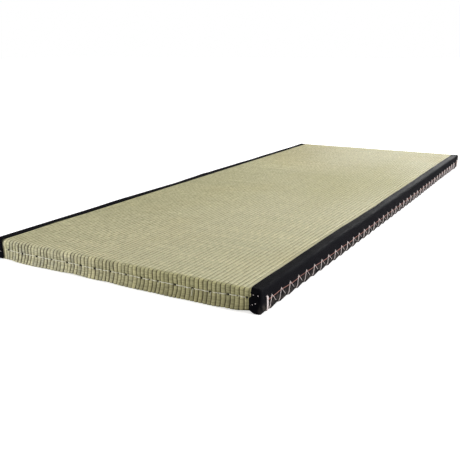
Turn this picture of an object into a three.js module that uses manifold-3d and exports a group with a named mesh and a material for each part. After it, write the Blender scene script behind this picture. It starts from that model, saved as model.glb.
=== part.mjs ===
// Tatami mat: a firm rectangular pad faced with ribbed rush matting that is drawn down over both short ends,
// with a strip of plain cloth bound round each long edge and folded over its corners.
// Millimetres, +Z up. The origin is on the floor under the middle of the mat.
// +Y runs along the mat, so its two rush-faced ends are at -Y and +Y, and +X runs across it.
import * as THREE from "three";
import { RoundedBoxGeometry } from "three/addons/geometries/RoundedBoxGeometry.js";
import { mergeVertices } from "three/addons/utils/BufferGeometryUtils.js";
import Module from "manifold-3d";

const wasm = await Module();
wasm.setup();

// Driving dimensions of the whole mat
const MAT_LENGTH = 2000;
const MAT_WIDTH = 800;
const MAT_THICKNESS = 56; // floor to the top of the edge cloth
const SEAT_GAP = 0.3; // between the rush and the cloth that lies on it

// Edge cloth
const CLOTH_THICKNESS = 2; // doubled cloth over its stiffening strip
const CLOTH_BEND = 6; // outer radius where it turns over an edge
const CLOTH_BEND_STEPS = 3;
const CLOTH_ON_TOP = 28.5; // width that shows on top of the mat
const CLOTH_TURNED_UNDER = 22; // width of the hem under the mat
const CLOTH_END_STEP = 2.9; // how much further in the lower fold of a cloth end reaches
const CLOTH_END_STEP_HEIGHT = 33; // top of that lower fold

// Rush facing
const RIB_COUNT = 65;
const RIB_HEIGHT = 1.6;
const SEAM_HEIGHT = 30; // row of sewing across each end, above the floor
const SEAM_DEPTH = 1.2; // how far the thread draws the ribs in
const SEAM_REACH = 4; // distance above and below the thread over which they are drawn in
const RUSH_BEND_STEPS = 4;
const EDGE_BEND = 4.2; // radius of the long edges under the cloth
const EDGE_BEND_STEPS = 3;

// One rib, across its pitch: share of the pitch, share of the rib's height
const RIB_PROFILE = [
  { across: 0, rise: 0 },
  { across: 0.25, rise: 0.8 },
  { across: 0.5, rise: 1 },
  { across: 0.75, rise: 0.8 },
];

// Radius at which the rush turns down over each end, which eases from the left edge to the right one
const END_BENDS = [
  { towards: -1, leftRadius: 14, rightRadius: 6 },
  { towards: 1, leftRadius: 10, rightRadius: 10 },
];

const COLOURS = { rush: 0xb6b191, cloth: 0x18181b };

// Worked out from the dimensions above
const halfLength = MAT_LENGTH / 2;
const halfWidth = MAT_WIDTH / 2;
const clothInset = CLOTH_THICKNESS + SEAT_GAP;
const rushTop = MAT_THICKNESS - clothInset; // level of the grooves between the ribs
const rushEnd = halfLength - clothInset;
const rushSide = halfWidth - clothInset;
const fieldEdge = halfWidth - CLOTH_ON_TOP - SEAT_GAP; // the outermost groove, beside the cloth
const ribPitch = (2 * fieldEdge) / RIB_COUNT;
const pressedFrom = fieldEdge - CLOTH_END_STEP; // the rush lies flat under the lower fold from here out
const soleSide = pressedFrom; // the clear rectangle that the mat lies on
const soleEnd = rushEnd - SEAM_HEIGHT;

// A closed geometry as a solid for joining and cutting
function solidOf(geometry) {
  const bare = geometry.clone();
  bare.deleteAttribute("normal");
  bare.deleteAttribute("uv");
  const merged = mergeVertices(bare, 1e-3);
  return new wasm.Manifold(
    new wasm.Mesh({
      numProp: 3,
      vertProperties: new Float32Array(merged.getAttribute("position").array),
      triVerts: new Uint32Array(merged.index.array),
    }),
  );
}

// A solid back as a geometry with flat-shaded normals
function geometryOf(solid) {
  const mesh = solid.getMesh();
  const geometry = new THREE.BufferGeometry();
  geometry.setAttribute("position", new THREE.BufferAttribute(mesh.vertProperties, mesh.numProp));
  geometry.setIndex(new THREE.BufferAttribute(mesh.triVerts, 1));
  const faceted = geometry.toNonIndexed();
  faceted.computeVertexNormals();
  return faceted;
}

// A plain block between two corners, used to trim
function block(low, high) {
  const size = high.map((value, axis) => value - low[axis]);
  const centre = high.map((value, axis) => (value + low[axis]) / 2);
  return solidOf(new THREE.BoxGeometry(...size).translate(...centre));
}

// The rush columns from -X to +X: place across, share of a rib's height, and drop of the rounded long edge
function rushColumns() {
  const edge = [];
  for (let step = 0; step <= EDGE_BEND_STEPS; step += 1) {
    const angle = ((Math.PI / 2) * step) / EDGE_BEND_STEPS;
    edge.push({
      x: rushSide - EDGE_BEND * (1 - Math.cos(angle)),
      rise: 0,
      drop: EDGE_BEND * (1 - Math.sin(angle)),
    });
  }
  const ribs = [];
  for (let rib = 0; rib < RIB_COUNT; rib += 1) {
    for (const { across, rise } of RIB_PROFILE) {
      ribs.push({ x: -fieldEdge + (rib + across) * ribPitch, rise, drop: 0 });
    }
  }
  ribs.push({ x: fieldEdge, rise: 0, drop: 0 });
  const left = edge.map((column) => ({ ...column, x: -column.x }));
  return [...left, ...ribs, ...edge.reverse()];
}

// The outline of one column over one end, from the floor up and round onto the top
function endStations(column, { towards, leftRadius, rightRadius }) {
  const share = (column.x + halfWidth) / MAT_WIDTH;
  const radius = THREE.MathUtils.lerp(leftRadius, rightRadius, share);
  const end = rushEnd - column.drop;
  const top = rushTop - column.drop;
  const under = Math.abs(column.x) >= pressedFrom - SEAT_GAP;
  const rise = RIB_HEIGHT * column.rise;
  const drawnIn = rise - SEAM_DEPTH * Math.sign(column.rise);
  const face = [
    { z: 0, lift: under ? 0 : rise },
    { z: SEAM_HEIGHT - SEAM_REACH, lift: under ? 0 : rise },
    { z: SEAM_HEIGHT, lift: under ? 0 : drawnIn },
    { z: SEAM_HEIGHT + SEAM_REACH, lift: under ? 0 : rise },
  ].map(({ z, lift }) => [column.x, towards * (end + lift), z]);
  const bend = [];
  for (let step = 0; step <= RUSH_BEND_STEPS; step += 1) {
    const angle = ((Math.PI / 2) * step) / RUSH_BEND_STEPS;
    const out = radius + rise;
    bend.push([
      column.x,
      towards * (end - radius + out * Math.cos(angle)),
      top - radius + out * Math.sin(angle),
    ]);
  }
  return [...face, ...bend];
}

// The rush-faced pad: ribs raised on its top and ends, flat beneath, with a rebate for each hem
function rushMat() {
  const columns = rushColumns().map((column) => {
    const [near, far] = END_BENDS.map((bend) => endStations(column, bend));
    const soleCorner = column.x < 0 ? -soleSide : soleSide;
    return [...near, ...far.reverse(), [soleCorner, soleEnd, 0], [soleCorner, -soleEnd, 0]];
  });
  const stations = columns[0].length;
  const wrapped = stations - 2;
  const lastColumn = columns.length - 1;
  const points = columns.flat();
  const at = (column, station) => column * stations + station;
  const apart = (a, b) => points[a].some((value, axis) => value !== points[b][axis]);
  const triangles = [];
  const triangle = (a, b, c) => {
    if (apart(a, b) && apart(b, c) && apart(c, a)) {
      triangles.push(a, b, c);
    }
  };
  const quad = (a, b, c, d) => {
    triangle(a, b, c);
    triangle(a, c, d);
  };
  for (let c = 0; c < lastColumn; c += 1) {
    for (let s = 0; s < stations; s += 1) {
      const next = (s + 1) % stations;
      quad(at(c, s), at(c + 1, s), at(c + 1, next), at(c, next));
    }
  }
  for (let s = 0; s < wrapped / 2 - 1; s += 1) {
    const opposite = wrapped - 1 - s;
    quad(at(0, s), at(0, s + 1), at(0, opposite - 1), at(0, opposite));
    quad(at(lastColumn, s), at(lastColumn, opposite), at(lastColumn, opposite - 1), at(lastColumn, s + 1));
  }
  quad(at(0, 0), at(0, wrapped - 1), at(0, wrapped), at(0, wrapped + 1));
  quad(at(lastColumn, wrapped - 1), at(lastColumn, 0), at(lastColumn, wrapped + 1), at(lastColumn, wrapped));
  const geometry = new THREE.BufferGeometry();
  geometry.setAttribute("position", new THREE.Float32BufferAttribute(points.flat(), 3));
  geometry.setIndex(triangles);

  const hemEdge = halfWidth - CLOTH_TURNED_UNDER - SEAT_GAP;
  const rebates = [-1, 1].map((side) => {
    const across = [side * hemEdge, side * MAT_WIDTH].sort((a, b) => a - b);
    return block([across[0], -MAT_LENGTH, -clothInset], [across[1], MAT_LENGTH, clothInset]);
  });
  return geometryOf(rebates.reduce((solid, rebate) => solid.subtract(rebate), solidOf(geometry)));
}

// A long bar with rounded edges whose outer side and top lie inside the mat's outline by the inset
function roundedBar(inset) {
  const width = MAT_WIDTH / 4 - inset;
  const height = 2 * (MAT_THICKNESS - inset);
  const length = MAT_LENGTH - 2 * inset;
  const bar = new RoundedBoxGeometry(width, length, height, CLOTH_BEND_STEPS, CLOTH_BEND - inset);
  return solidOf(bar.translate(halfWidth - inset - width / 2, 0, 0));
}

// The cloth of the right edge: over the top, down the side, folded over both ends and turned under as a hem
function edgeCloth() {
  const far = MAT_LENGTH;
  const onTop = halfWidth - CLOTH_ON_TOP;
  const atLowerFold = onTop - CLOTH_END_STEP;
  const hemEdge = halfWidth - CLOTH_TURNED_UNDER;
  const insideEnd = halfLength - CLOTH_THICKNESS;
  const hollow = roundedBar(CLOTH_THICKNESS).subtract(block([0, -far, -far], [far, far, CLOTH_THICKNESS]));
  const cuts = [
    block([0, -far, -far], [far, far, 0]), // below the floor
    hollow,
    block([0, -far, -far], [atLowerFold, far, far]), // all that lies inside the lower fold
    block([0, -far, CLOTH_END_STEP_HEIGHT], [onTop, far, far]), // inside the upper fold and the top
    block([0, -insideEnd, -far], [hemEdge, insideEnd, CLOTH_THICKNESS]), // inside the hem
  ];
  return geometryOf(cuts.reduce((solid, cut) => solid.subtract(cut), roundedBar(0)));
}

const rush = new THREE.MeshStandardMaterial({ color: COLOURS.rush, roughness: 0.75, metalness: 0 });
const cloth = new THREE.MeshStandardMaterial({ color: COLOURS.cloth, roughness: 0.7, metalness: 0 });

const mat = new THREE.Group();
const pad = new THREE.Mesh(rushMat(), rush);
pad.name = "rush_mat";
mat.add(pad);

const edge = edgeCloth();
for (const [name, turn] of [["edge_cloth_right", 0], ["edge_cloth_left", Math.PI]]) {
  const strip = new THREE.Mesh(edge, cloth);
  strip.name = name;
  strip.rotation.z = turn;
  mat.add(strip);
}

export default mat;
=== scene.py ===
"""Looks of the tatami mat: its rush facing, edge cloths and sewing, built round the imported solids.

Sizes are in metres in the part's own frame: +X runs across the mat, +Y along it and +Z up, with the
origin on the floor under its middle. The near end is at -Y.
"""

import logging
import math
from collections.abc import Callable
from dataclasses import dataclass
from enum import Enum, IntEnum
from typing import NamedTuple, Union

import bpy
import numpy as np
from bpy.types import ID, Material, NodeSocket, Object, World
from mathutils import Matrix, Vector


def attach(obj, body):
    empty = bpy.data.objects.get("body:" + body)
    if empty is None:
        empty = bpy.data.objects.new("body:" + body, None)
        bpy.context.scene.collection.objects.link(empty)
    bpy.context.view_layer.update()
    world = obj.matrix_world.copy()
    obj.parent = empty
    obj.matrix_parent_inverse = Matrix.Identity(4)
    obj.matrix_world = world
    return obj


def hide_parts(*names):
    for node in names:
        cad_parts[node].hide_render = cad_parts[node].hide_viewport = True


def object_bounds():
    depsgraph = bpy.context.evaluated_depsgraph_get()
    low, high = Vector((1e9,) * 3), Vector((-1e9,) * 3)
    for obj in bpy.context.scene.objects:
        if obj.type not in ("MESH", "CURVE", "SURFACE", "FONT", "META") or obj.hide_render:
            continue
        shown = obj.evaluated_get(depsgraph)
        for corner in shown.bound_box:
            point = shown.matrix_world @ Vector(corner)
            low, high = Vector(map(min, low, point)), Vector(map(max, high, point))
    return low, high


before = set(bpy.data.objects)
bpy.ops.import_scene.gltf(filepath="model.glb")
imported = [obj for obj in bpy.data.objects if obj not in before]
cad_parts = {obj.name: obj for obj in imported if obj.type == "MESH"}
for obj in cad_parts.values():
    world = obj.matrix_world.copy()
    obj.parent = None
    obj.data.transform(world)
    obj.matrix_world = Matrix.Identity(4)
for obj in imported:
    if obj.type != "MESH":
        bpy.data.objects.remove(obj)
CAD_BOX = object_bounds()

MM = 0.001
BODY = "root"
WEAVE_UV = "weave"
SEWN = "sewn"
WANDER_WAVES = 6
THREAD_SIDES = 6
FLOOR_GAP = 0.1 * MM

log = logging.getLogger("tatami")

Array = np.ndarray
Colour = tuple[float, float, float]
Place = tuple[float, float, float]
Range = tuple[float, float]
Value = Union[float, int, Colour, "Wire"]


class Sign(Enum):
    """A part of the mat that is told from its opposite by the sign of its place."""

    @property
    def label(self) -> str:
        """Its word in the names of pieces."""
        return self.name.lower()


class End(Sign):
    """The two rush-faced ends of the mat, by the sign of Y."""

    NEAR = -1
    FAR = 1


class Edge(Sign):
    """The two bound edges of the mat, by the sign of X."""

    LEFT = -1
    RIGHT = 1


class Seed(IntEnum):
    """The patterns of unevenness, by the number that starts their draws."""

    END_RIBS = 3
    END_SWELL = 5
    TOP_RIBS = 7
    SEAM = 11
    SWAY = 13
    KINKS = 15
    FRAY = 17
    LACING = 21
    CLOTH_SIDE = 31
    CLOTH_ENDS = 41
    CLOTH_EDGE = 51
    CLOTH_TOP = 53
    CROSS_THREAD = 61
    SLACK = 71


def srgb(red: int, green: int, blue: int) -> Colour:
    """Turns a screen colour of 0 to 255 into linear light.

    Args:
        red: Level of red.
        green: Level of green.
        blue: Level of blue.

    Returns:
        The linear colour.
    """

    def linear(level: int) -> float:
        """Turns one channel into linear light."""
        share = level / 255
        return share / 12.92 if share <= 0.04045 else ((share + 0.055) / 1.055) ** 2.4

    return linear(red), linear(green), linear(blue)


def wander(seed: int, *places: Array) -> Array:
    """Gives a smooth, repeatable unevenness of about -1 to 1.

    Args:
        seed: Picks one pattern of unevenness.
        places: One array for each direction, each divided by the distance over which it changes.

    Returns:
        The unevenness at every place, in the arrays' common shape.
    """
    draws = np.random.default_rng(seed)
    total = np.zeros(np.broadcast_shapes(*(np.shape(place) for place in places)))
    for _ in range(WANDER_WAVES):
        start = draws.uniform(0, math.tau)
        rates = draws.uniform(0.35, 1.0, len(places)) * draws.choice((-1.0, 1.0), len(places))
        total += np.sin(start + math.tau * sum(rate * place for rate, place in zip(rates, places)))
    return total / math.sqrt(2 * WANDER_WAVES)


def bell(distance: Array, reach: float) -> Array:
    """Gives 1 at no distance, falling smoothly to nothing past the reach."""
    return np.exp(-((distance / reach) ** 2))


def ease(value: Array, low: float, high: float) -> Array:
    """Gives 0 below low and 1 above high, with a smooth step between them."""
    share = np.clip((value - low) / (high - low), 0.0, 1.0)
    return share * share * (3 - 2 * share)


def fade(value: Array, low: float, high: float) -> Array:
    """Gives 1 below low and 0 above high, with a smooth step between them."""
    return ease(-value, -high, -low)


def travelled(path: Array) -> Array:
    """Gives the distance along a path from its start to each of its points."""
    return np.append(0.0, np.cumsum(np.linalg.norm(np.diff(path, axis=0), axis=1)))


def quads(grid: Array) -> Array:
    """Gives the four corners of every square of a grid, in order round the square."""
    around = (np.s_[:-1, :-1], np.s_[:-1, 1:], np.s_[1:, 1:], np.s_[1:, :-1])
    return np.stack([grid[part] for part in around], axis=2)


class Bow(NamedTuple):
    """One gentle bend in an edge of the mat: its place and reach, and in millimetres its shift."""

    place: float
    reach: float
    shift: float


Bows = tuple[Bow, ...]


def bowed(bows: Bows, places: Array) -> Array:
    """Gives the shift of a bent edge at places along it."""
    return sum(bow.shift * MM * bell(places - bow.place, bow.reach) for bow in bows)


def new_object(name: str, data: ID) -> Object:
    """Makes an object at the origin and puts it in the scene.

    Args:
        name: The object's name.
        data: Its mesh, camera or light.

    Returns:
        The object.
    """
    made = bpy.data.objects.new(name, data)
    bpy.context.scene.collection.objects.link(made)
    return made


@dataclass(frozen=True)
class MatSizes:
    """Sizes that the pieces share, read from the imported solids."""

    half_width: float
    half_length: float
    thickness: float
    cloth_on_top: float = 28.5 * MM
    cloth_thickness: float = 2.0 * MM
    seat_gap: float = 0.3 * MM

    @classmethod
    def from_frame(cls) -> "MatSizes":
        """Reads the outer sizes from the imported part."""
        _, top = CAD_BOX
        return cls(half_width=top.x, half_length=top.y, thickness=top.z)

    @property
    def cloth_inset(self) -> float:
        """Depth of the rush's grooves behind the outer face of the edge cloth."""
        return self.cloth_thickness + self.seat_gap

    @property
    def cloth_edge(self) -> float:
        """Place across the mat where the edge cloth begins on top."""
        return self.half_width - self.cloth_on_top

    @property
    def groove_top(self) -> float:
        """Height of the grooves between the ribs on top."""
        return self.thickness - self.cloth_inset

    @property
    def groove_end(self) -> float:
        """Distance from the middle to the grooves on an end."""
        return self.half_length - self.cloth_inset

    @property
    def field_edge(self) -> float:
        """Place across the mat of the outermost groove, beside the edge cloth."""
        return self.cloth_edge - self.seat_gap

    def share_across(self, x: Array) -> Array:
        """Gives the share of the mat's width, from the left, at places across it."""
        return (x + self.half_width) / (2 * self.half_width)


class MeshDraft:
    """Points, faces and weave coordinates that are gathered before they become one mesh."""

    def __init__(self) -> None:
        """Starts with nothing in it."""
        self.points: list[Array] = []
        self.faces: list[list[int]] = []
        self.corners: list[Array] = []
        self.count = 0

    def add_points(self, points: Array) -> Array:
        """Adds rows and columns of points and gives their numbers.

        Args:
            points: Points by row and column.

        Returns:
            The points' numbers by row and column.
        """
        rows, columns = points.shape[:2]
        numbers = self.count + np.arange(rows * columns).reshape(rows, columns)
        self.points.append(points.reshape(-1, 3))
        self.count += numbers.size
        return numbers

    def add_squares(self, numbers: Array, weave: Array) -> None:
        """Adds a sheet of squares over points that are already there.

        Args:
            numbers: Rows and columns of points; columns across rows turn towards the outside.
            weave: Weave coordinates of the same rows and columns.
        """
        self.faces += quads(numbers).reshape(-1, 4).tolist()
        self.corners.append(quads(weave).reshape(-1, 2))

    def add_face(self, numbers: Array) -> None:
        """Adds one face over points that are already there."""
        self.faces.append(numbers.tolist())
        self.corners.append(np.zeros((len(numbers), 2)))

    def add_thread(self, path: Array, radius: float) -> None:
        """Adds a round thread with closed ends.

        Args:
            path: Points along the thread's middle.
            radius: Half its thickness.
        """
        along = np.gradient(path, axis=0)
        along /= np.linalg.norm(along, axis=1, keepdims=True)
        reference = np.eye(3)[np.argmin(np.abs(along).max(axis=0))]
        across = np.cross(along, reference)
        across /= np.linalg.norm(across, axis=1, keepdims=True)
        other = np.cross(along, across)
        turn = np.linspace(0, math.tau, THREAD_SIDES, endpoint=False)
        ring = np.cos(turn)[:, None] * across[:, None] + np.sin(turn)[:, None] * other[:, None]
        numbers = self.add_points(path[:, None] + radius * ring)
        around = np.arange(THREAD_SIDES + 1) / THREAD_SIDES
        weave = np.stack(np.meshgrid(around, travelled(path)), -1)
        self.add_squares(np.pad(numbers, ((0, 0), (0, 1)), mode="wrap"), weave)
        self.add_face(numbers[0, ::-1])
        self.add_face(numbers[-1])

    def to_object(self, name: str) -> Object:
        """Makes one smooth-shaded object at the origin, with its place in its mesh.

        Args:
            name: Name of the piece.

        Returns:
            The object.
        """
        mesh = bpy.data.meshes.new(name)
        mesh.from_pydata(np.concatenate(self.points).tolist(), [], self.faces)
        layer = mesh.uv_layers.new(name=WEAVE_UV)
        layer.data.foreach_set("uv", np.concatenate(self.corners).astype(np.float32).ravel())
        mesh.polygons.foreach_set("use_smooth", np.ones(len(mesh.polygons), bool))
        mesh.update()
        return new_object(name, mesh)


def operator(operation: str, reflected: bool = False) -> Callable[["Wire", Value], "Wire"]:
    """Gives a Python operator that adds a Math node.

    Args:
        operation: The Math node's operation.
        reflected: Whether the wire is the second of its two values.

    Returns:
        The method for the wires' class.
    """

    def method(wire: "Wire", other: Value) -> "Wire":
        """Adds the node over the wire and the other value."""
        pair = (other, wire) if reflected else (wire, other)
        return wire.maths(operation, *pair)

    return method


class Wire:
    """A shader socket that takes part in Python expressions; each operator adds a Math node."""

    def __init__(self, graph: "Graph", socket: NodeSocket) -> None:
        """Wraps one output socket of a graph."""
        self.graph = graph
        self.socket = socket

    def maths(self, operation: str, *values: Value) -> "Wire":
        """Adds a Math node over the given values."""
        return self.graph.node("ShaderNodeMath", {"operation": operation}, dict(enumerate(values)))

    def output(self, name: Union[int, str]) -> "Wire":
        """Gives another output of the same node."""
        return Wire(self.graph, self.socket.node.outputs[name])

    __add__, __radd__ = operator("ADD"), operator("ADD", reflected=True)
    __sub__, __rsub__ = operator("SUBTRACT"), operator("SUBTRACT", reflected=True)
    __mul__, __rmul__ = operator("MULTIPLY"), operator("MULTIPLY", reflected=True)
    __truediv__, __rtruediv__ = operator("DIVIDE"), operator("DIVIDE", reflected=True)
    __pow__, __rpow__ = operator("POWER"), operator("POWER", reflected=True)
    __mod__, __rmod__ = operator("FLOORED_MODULO"), operator("FLOORED_MODULO", reflected=True)

    def __abs__(self) -> "Wire":
        """Drops the sign."""
        return self.maths("ABSOLUTE", self)

    def floor(self) -> "Wire":
        """Gives the whole number below."""
        return self.maths("FLOOR", self)

    def sine(self) -> "Wire":
        """Gives the sine of an angle."""
        return self.maths("SINE", self)

    def step(self, low: float, high: float) -> "Wire":
        """Gives 0 below low and 1 above high, with a smooth step between them."""
        settings = {"interpolation_type": "SMOOTHSTEP"}
        return self.graph.node("ShaderNodeMapRange", settings, {0: self, 1: low, 2: high, 3: 0.0, 4: 1.0})


class Graph:
    """The nodes of one material or world, added in order."""

    def __init__(self, owner: Union[Material, World]) -> None:
        """Starts with none of the nodes that the owner came with.

        Args:
            owner: The material or world to fill.
        """
        owner.use_nodes = True
        self.owner = owner
        self.tree = owner.node_tree
        self.tree.nodes.clear()

    @classmethod
    def of_material(cls, name: str) -> "Graph":
        """Starts a new material of that name."""
        return cls(bpy.data.materials.new(name))

    def node(self, kind: str, settings: dict, inputs: dict, output: Union[int, str] = 0) -> Wire:
        """Adds one node.

        Args:
            kind: Blender's type of node.
            settings: The node's own settings, set first.
            inputs: Values or wires by the socket's name or number.
            output: Which output the wire stands for.

        Returns:
            The chosen output as a wire.
        """
        made = self.tree.nodes.new(kind)
        for name, value in settings.items():
            setattr(made, name, value)
        for name, value in inputs.items():
            socket = made.inputs[name]
            if isinstance(value, Wire):
                self.tree.links.new(value.socket, socket)
            else:
                socket.default_value = (*value, 1.0) if socket.type == "RGBA" else value
        return Wire(self, made.outputs[output])

    def end(self, kind: str, shader: Wire) -> None:
        """Adds the output node of a material or world."""
        output = self.tree.nodes.new(kind)
        self.tree.links.new(shader.socket, output.inputs["Surface"])

    def blend(self, share: Value, first: Value, second: Value) -> Wire:
        """Mixes two colours by a share of the second."""
        return self.node("ShaderNodeMix", {"data_type": "RGBA"}, {0: share, 6: first, 7: second}, 2)

    def scale(self, colour: Value, amount: Value) -> Wire:
        """Makes a colour darker or lighter."""
        inputs = {0: colour, "Scale": amount}
        return self.node("ShaderNodeVectorMath", {"operation": "SCALE"}, inputs)

    def vector(self, *values: Value) -> Wire:
        """Gives a vector as it is, or makes one of two or three values."""
        joined = len(values) > 1
        return self.node("ShaderNodeCombineXYZ", {}, dict(enumerate(values))) if joined else values[0]

    def noise(self, *place: Value, scale: float = 1.0, detail: float = 2.0) -> Wire:
        """Gives smooth noise of 0 to 1 at a place, a vector or its values."""
        inputs = {"Vector": self.vector(*place), "Scale": scale, "Detail": detail}
        return self.node("ShaderNodeTexNoise", {}, inputs)

    def dice(self, *place: Value) -> Wire:
        """Gives an even draw of 0 to 1 for each separate place."""
        inputs = {"Vector": self.vector(*place)}
        return self.node("ShaderNodeTexWhiteNoise", {"noise_dimensions": "3D"}, inputs)

    def split(self, vector: Wire) -> tuple[Wire, Wire, Wire]:
        """Gives the three values of a vector."""
        first = self.node("ShaderNodeSeparateXYZ", {}, {0: vector})
        return first, first.output(1), first.output(2)

    def weave(self) -> tuple[Wire, Wire]:
        """Gives the two weave coordinates of a piece."""
        across, along, _ = self.split(self.node("ShaderNodeUVMap", {"uv_map": WEAVE_UV}, {}))
        return across, along

    def object_place(self) -> Wire:
        """Gives the place on the object, in metres."""
        return self.node("ShaderNodeTexCoord", {}, {}, "Object")

    def camera_sees(self) -> Wire:
        """Gives 1 where the camera looks straight at the surface, and 0 for its share in the light."""
        return self.node("ShaderNodeLightPath", {}, {}, "Is Camera Ray")

    def bump(self, height: Wire, distance: float, strength: float) -> Wire:
        """Turns a height of 0 to 1 into a bent normal."""
        inputs = {"Strength": strength, "Distance": distance, "Height": height}
        return self.node("ShaderNodeBump", {}, inputs)

    def surface(self, **inputs: Value) -> Material:
        """Ends the material with a Principled surface; socket names have _ for each space.

        Args:
            inputs: Values or wires by socket name.

        Returns:
            The material.
        """
        named = {name.replace("_", " "): value for name, value in inputs.items()}
        self.end("ShaderNodeOutputMaterial", self.node("ShaderNodeBsdfPrincipled", {}, named))
        return self.owner


@dataclass(frozen=True)
class RushFinish:
    """Dried rush woven in ribs: fine stems across each rib, uneven in colour, with painted shade in the
    grooves and painted shadow in the stitch holes.
    """

    straw: Colour = srgb(216, 209, 172)
    green: Colour = srgb(184, 182, 145)
    ochre: Colour = srgb(190, 172, 112)
    grey: Colour = srgb(166, 166, 152)
    aged: Colour = srgb(179, 174, 124)
    # The next three colours are painted shade and shadow: in the grooves on top, in the grooves on the
    # ends and in the stitch holes.
    shade: Colour = srgb(104, 92, 58)
    end_shade: Colour = srgb(72, 63, 42)
    hole_shadow: Colour = srgb(26, 23, 16)
    # Painted shade, low on each end towards its right.
    lower_shade: Colour = srgb(120, 110, 74)
    # Partly painted shade, partly the rush's own greener tint.
    fresh_and_shaded: Colour = srgb(176, 174, 122)
    ochre_share: float = 0.25
    grey_share: float = 0.5
    aged_share: float = 0.8
    odd_rib_share: float = 0.08
    lower_shade_share: float = 0.3
    fresh_and_shaded_share: float = 0.3
    tanned_share: float = 0.62
    stem_pitch: float = 1.35 * MM
    tuft_length: float = 7 * MM
    streak_length: float = 0.35
    bend_length: float = 13 * MM
    aged_over: Range = (-0.2, 0.2)
    narrow_over: Range = (-0.35, 0.25)
    lower_shade_over: Range = (30 * MM, 56 * MM)

    def material(self, field_edge: float, rib_pitch: float, end_from: float) -> Material:
        """Builds the finish.

        Args:
            field_edge: Place across the mat of the outermost groove.
            rib_pitch: Width of one rib.
            end_from: Distance along the facing from the mat's middle at which an end begins.

        Returns:
            The material.
        """
        graph = Graph.of_material("rush")
        across, along = graph.weave()
        rib = (across + field_edge) / rib_pitch
        rib_number = rib.floor()
        groove = (rib + 0.5).floor()
        lean = abs((rib - rib_number) * 2 - 1)
        alternate = rib_number % 2
        row = along / self.stem_pitch + alternate * 0.5
        stem = row.floor()
        rounded = 1 - ((row - stem) * 2 - 1) ** 2
        on_end = abs(along).step(end_from, end_from + self.bend_length)
        on_top = 1 - on_end
        narrow = across.step(*self.narrow_over)

        # Patterns, from single stems to patches of the whole mat
        streak = graph.noise(across / self.streak_length, stem * 0.73, alternate * 7.7, detail=1.0)
        each = graph.dice(rib_number, stem)
        whole = graph.dice(rib_number, 3.0, 5.0)
        tuft = graph.noise(rib_number * 1.7, along / self.tuft_length, detail=1.0)
        band = graph.noise(across * 1.4, along * 22, detail=4.0)
        patch = graph.noise(across * 2.2, along * 1.7, 4.0, detail=3.0)
        mottle = graph.noise(across * 55, along * 40, 9.0, detail=4.0)
        low, high = (end_from + height for height in self.lower_shade_over)
        # Painted shade: each end is darker on its lower part, towards its right.
        soiled_and_shaded = abs(along).step(low, high) * across.step(-0.1, 0.2)
        # Partly painted shade and partly the rush's own tint: a darker, greener patch on the left of the
        # top.
        unfaded_and_shaded = (0.35 - across - abs(along + 0.1) * 0.5).step(0.0, 0.6) * on_top
        tanned = (0.72 - abs(across - 0.2) * 1.6 - abs(along - 0.2)).step(0.0, 0.6) * on_top

        # Colours of the stems
        tints = (
            ((patch - 0.45).step(0.0, 0.25) * self.ochre_share, self.ochre),
            ((mottle - 0.46).step(0.0, 0.22) * on_end * self.grey_share, self.grey),
            (across.step(*self.aged_over) * on_end * self.aged_share, self.aged),
            (whole.step(0.7, 0.9) * on_end * self.odd_rib_share, self.ochre),
            (soiled_and_shaded * self.lower_shade_share, self.lower_shade),
            (unfaded_and_shaded * self.fresh_and_shaded_share, self.fresh_and_shaded),
            (tanned * self.tanned_share, self.aged),
        )
        colour = graph.blend(((streak - 0.5) * 2.4 + 0.5).step(0.0, 1.0), self.green, self.straw)
        for share, tint in tints:
            colour = graph.blend(share, colour, tint)

        # Lighter and darker stems, ribs and patches
        light = 1 + (each - 0.5) * (0.16 + on_end * 0.34) + (band - 0.5) * 0.16 + (tuft - 0.5) * 0.12
        light = light + (whole - 0.5) * (0.05 + on_end * 0.22) + (1 - narrow) * on_top * 0.07
        pale = (0.3 - abs(across + 0.25) * 0.8 - abs(along - 0.38)).step(0.0, 0.3)
        pale = pale + (along * -1).step(0.6, 0.9) * (0.1 - across).step(0.0, 0.3) * 0.5
        light = light + (pale * 0.1 - 0.012) * on_top
        colour = graph.scale(colour, light)

        # Painted shade in the grooves on top and on the ends, and painted shadow in the stitch holes
        broken = graph.noise(groove * 3.1, along * 38, 6.0) - 0.5
        shaded = on_top * (1.04 - narrow * 0.26) * (1 + broken * 2.2)
        shade_wobble = graph.noise(groove * 2.3, along * 60, 2.0) - 0.5
        depth = 0.58 + graph.dice(groove, 11.0) * 0.5 + shade_wobble * 0.9
        thin = 2.2 + narrow * 1.6 + graph.dice(groove, 13.0) * 1.6
        sewn = graph.node("ShaderNodeAttribute", {"attribute_name": SEWN}, {}, "Fac")
        shadows = (
            (lean ** (2.9 + narrow * 1.8) * shaded, self.shade),
            (lean ** thin * depth * 1.25 * on_end, self.end_shade),
            (sewn * 2.0, self.hole_shadow),
        )
        for share, shadow in shadows:
            colour = graph.blend(share.step(0.0, 1.0), colour, shadow)

        height = rounded * (1 - lean ** 2) + each * 0.35
        return graph.surface(
            Base_Color=colour,
            Roughness=0.62 + each * 0.16,
            Specular_IOR_Level=0.3,
            Normal=graph.bump(height, 0.4 * MM, 0.6),
        )


@dataclass(frozen=True)
class SoleFinish:
    """Plain pressed straw under the mat."""

    pale: Colour = srgb(178, 160, 118)
    dark: Colour = srgb(128, 110, 74)
    fineness: Place = (260.0, 26.0, 60.0)

    def material(self) -> Material:
        """Builds the finish.

        Returns:
            The material.
        """
        graph = Graph.of_material("straw_sole")
        place = graph.object_place()
        stretched = graph.node("ShaderNodeMapping", {}, {"Vector": place, "Scale": self.fineness})
        straw = graph.noise(stretched, detail=4.0)
        broad = graph.noise(place, scale=7.0, detail=3.0)
        colour = graph.blend((straw * 0.7 + broad * 0.3).step(0.3, 0.7), self.dark, self.pale)
        return graph.surface(Base_Color=colour, Roughness=0.85, Normal=graph.bump(straw, 0.8 * MM, 0.6))


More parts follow.
